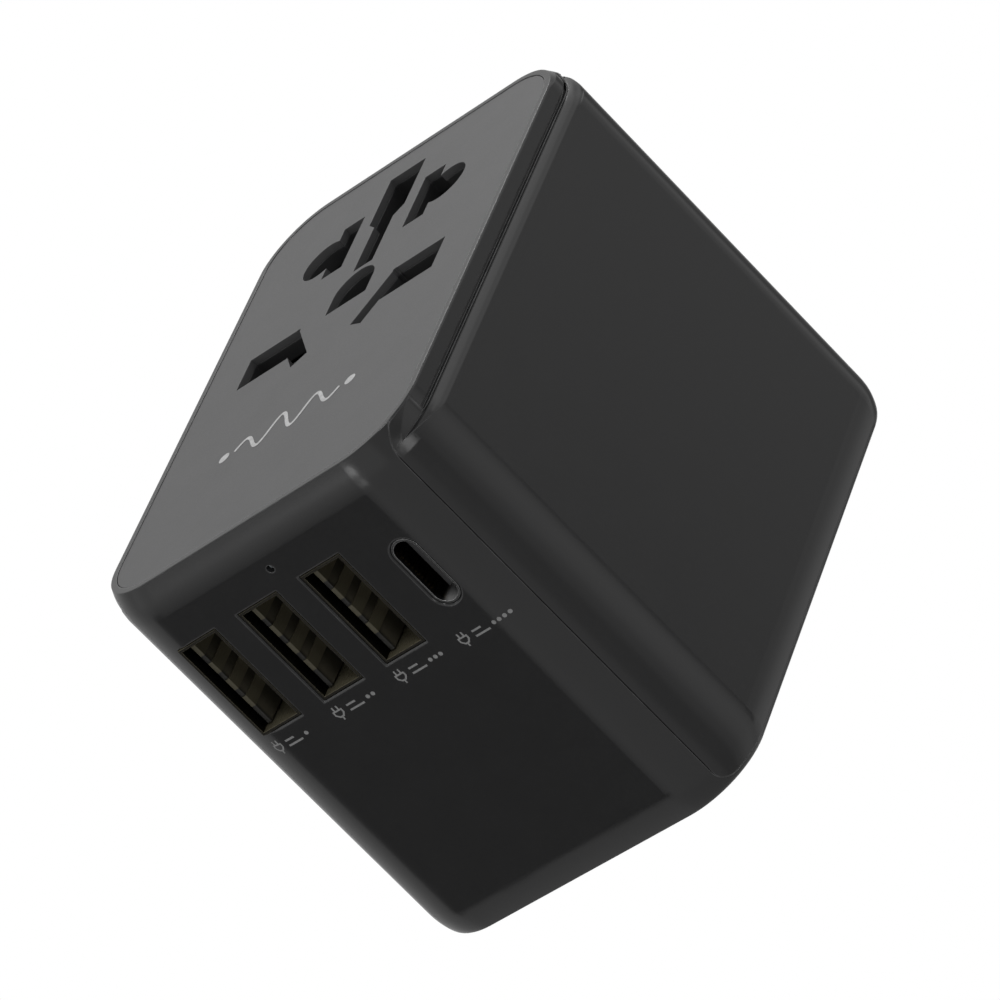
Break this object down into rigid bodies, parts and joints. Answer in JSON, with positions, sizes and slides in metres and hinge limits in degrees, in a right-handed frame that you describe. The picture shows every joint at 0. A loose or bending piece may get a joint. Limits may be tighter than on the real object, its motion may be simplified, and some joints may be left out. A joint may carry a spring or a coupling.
{
  "type": "universal travel adapter",
  "caption": "Rounded box-shaped mains travel adapter with a multi-standard socket face, charging ports on one side and sliding retractable plug pins.",
  "frame": {"origin": "centre of the plug face, the face the plug pins slide out of", "axes": "+Z from the plug face to the socket face, -Y towards the charging ports, -X towards the plug slide knobs"},
  "size_m": [0.0474, 0.0702, 0.0536],
  "materials": {
    "housing_plastic": "satin black moulding with soft sheen",
    "face_grey": "fine satin dark grey face",
    "inner_plastic": "matte black moulding",
    "pin_sleeve": "matte black sleeve",
    "pin_metal": "nickel plated",
    "contact_brass": "stamped brass",
    "port_steel": "stamped and plated",
    "screw_steel": "zinc plated",
    "board_green": "solder mask",
    "can_aluminium": "sleeved can",
    "core_ferrite": "sintered ferrite",
    "coil_tape": "yellow insulating tape",
    "lamp_clear": "clear",
    "fuse_ceramic": "ceramic tube with plated caps",
    "wire_insulation": "soft insulation"
  },
  "bodies": {
    "housing": {"cap_screws": "screw_steel", "contact_carrier": "inner_plastic", "controller_chip": "inner_plastic", "earth_contact": "contact_brass", "earth_rail": "contact_brass", "face_plate": "face_grey", "fuse": "fuse_ceramic", "fuse_clips": "contact_brass", "guide_frame": "inner_plastic", "indicator_led": "lamp_clear", "inductor": "core_ferrite", "input_capacitor": "can_aluminium", "left_panel": "housing_plastic", "light_pipe": "lamp_clear", "live_contact": "contact_brass", "live_rail": "contact_brass", "main_housing": "housing_plastic", "mains_wires": "wire_insulation", "neutral_contact": "contact_brass", "neutral_rail": "contact_brass", "output_capacitors": "can_aluminium", "rear_cap": "housing_plastic", "rectifier": "inner_plastic", "right_panel": "housing_plastic", "shutter_springs": "screw_steel", "socket_cover": "inner_plastic", "transformer_coil": "coil_tape", "transformer_core": "core_ferrite", "usb_a1_shell": "port_steel", "usb_a1_tongue": "inner_plastic", "usb_a2_shell": "port_steel", "usb_a2_tongue": "inner_plastic", "usb_a3_shell": "port_steel", "usb_a3_tongue": "inner_plastic", "usb_a_contacts": "contact_brass", "usb_board": "board_green", "usb_c_contacts": "contact_brass", "usb_c_shell": "port_steel", "usb_c_tongue": "inner_plastic"},
    "eu_slider": {"eu_carriage": "inner_plastic", "eu_pins": "pin_metal", "eu_sleeves": "pin_sleeve", "eu_wipers": "contact_brass", "eu_knob": "housing_plastic"},
    "us_slider": {"us_carriage": "inner_plastic", "us_retainer": "contact_brass", "us_wipers": "contact_brass", "us_knob": "housing_plastic"},
    "us_left_blade": {"us_hub_left": "inner_plastic", "us_blade_left": "pin_metal"},
    "us_right_blade": {"us_hub_right": "inner_plastic", "us_blade_right": "pin_metal"},
    "uk_slider": {"uk_carriage": "inner_plastic", "uk_line_pins": "pin_metal", "uk_sleeves": "pin_sleeve", "uk_earth_pin": "pin_metal", "uk_wipers": "contact_brass", "earth_wiper": "contact_brass", "uk_knob": "housing_plastic"},
    "shutter_slider": {"shutter": "inner_plastic"}
  },
  "joints": [
    {"name": "eu_slide", "type": "slide", "parent": "housing", "child": "eu_slider", "axis": [0, 0, -1], "range_m": [0, 0.0193]},
    {"name": "us_slide", "type": "slide", "parent": "housing", "child": "us_slider", "axis": [0, 0, -1], "range_m": [0, 0.0174]},
    {"name": "uk_slide", "type": "slide", "parent": "housing", "child": "uk_slider", "axis": [0, 0, -1], "range_m": [0, 0.0229]},
    {"name": "us_left_twist", "type": "hinge", "parent": "us_slider", "child": "us_left_blade", "pos_m": [-0.00635, -0.011, 0.027], "axis": [0, 0, 1], "range_deg": [0, 30]},
    {"name": "us_right_twist", "type": "hinge", "parent": "us_slider", "child": "us_right_blade", "pos_m": [0.00635, -0.011, 0.027], "axis": [0, 0, 1], "range_deg": [-30, 0]},
    {"name": "shutter_slide", "type": "slide", "parent": "housing", "child": "shutter_slider", "axis": [0, 1, 0], "range_m": [0, 0.007], "stiffness_N_per_m": 250, "springref_m": -0.004, "deforming": ["shutter_springs"]}
  ]
}
